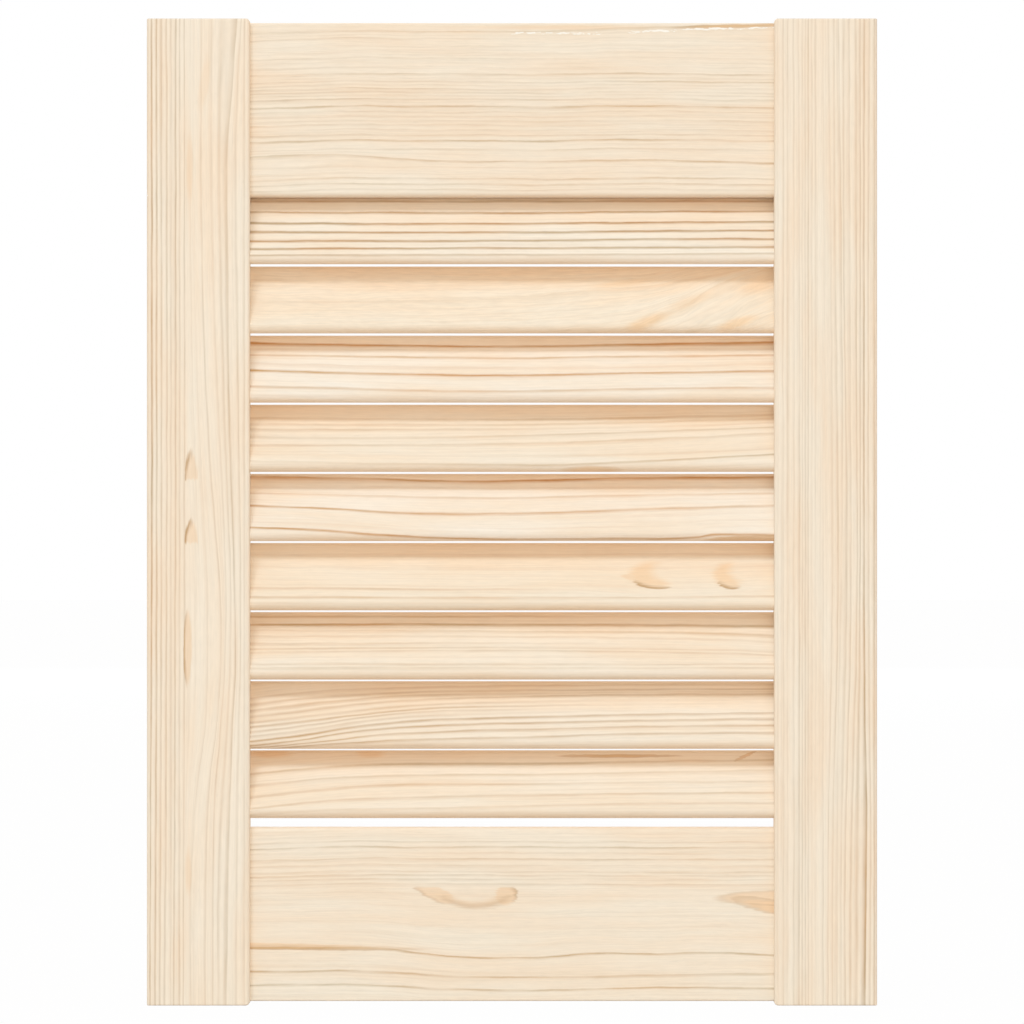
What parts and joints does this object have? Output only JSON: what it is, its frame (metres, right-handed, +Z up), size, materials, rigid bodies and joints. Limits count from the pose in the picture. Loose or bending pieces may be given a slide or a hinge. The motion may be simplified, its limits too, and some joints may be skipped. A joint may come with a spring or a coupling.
{
  "type": "louvred cabinet door",
  "caption": "Small unfinished pine cabinet door with fixed sloping louvre slats housed between two stiles and two set-back rails.",
  "frame": {"origin": "hinge edge: on the left stile's outer edge, at mid height and mid thickness", "axes": "+X across the door from the hinge edge to the free edge, +Y from the front to the back, +Z up"},
  "size_m": [0.293, 0.021, 0.396],
  "materials": {
    "pine": "planed and sanded pine, no coating",
    "beech": "turned beech dowel"
  },
  "bodies": {
    "root": {"left_stile": "pine", "right_stile": "pine", "top_rail": "pine", "bottom_rail": "pine", "slat_1": "pine", "slat_2": "pine", "slat_3": "pine", "slat_4": "pine", "slat_5": "pine", "slat_6": "pine", "slat_7": "pine", "slat_8": "pine", "slat_9": "pine", "top_left_dowel_1": "beech", "top_left_dowel_2": "beech", "top_right_dowel_1": "beech", "top_right_dowel_2": "beech", "bottom_left_dowel_1": "beech", "bottom_left_dowel_2": "beech", "bottom_right_dowel_1": "beech", "bottom_right_dowel_2": "beech"}
  },
  "joints": []
}
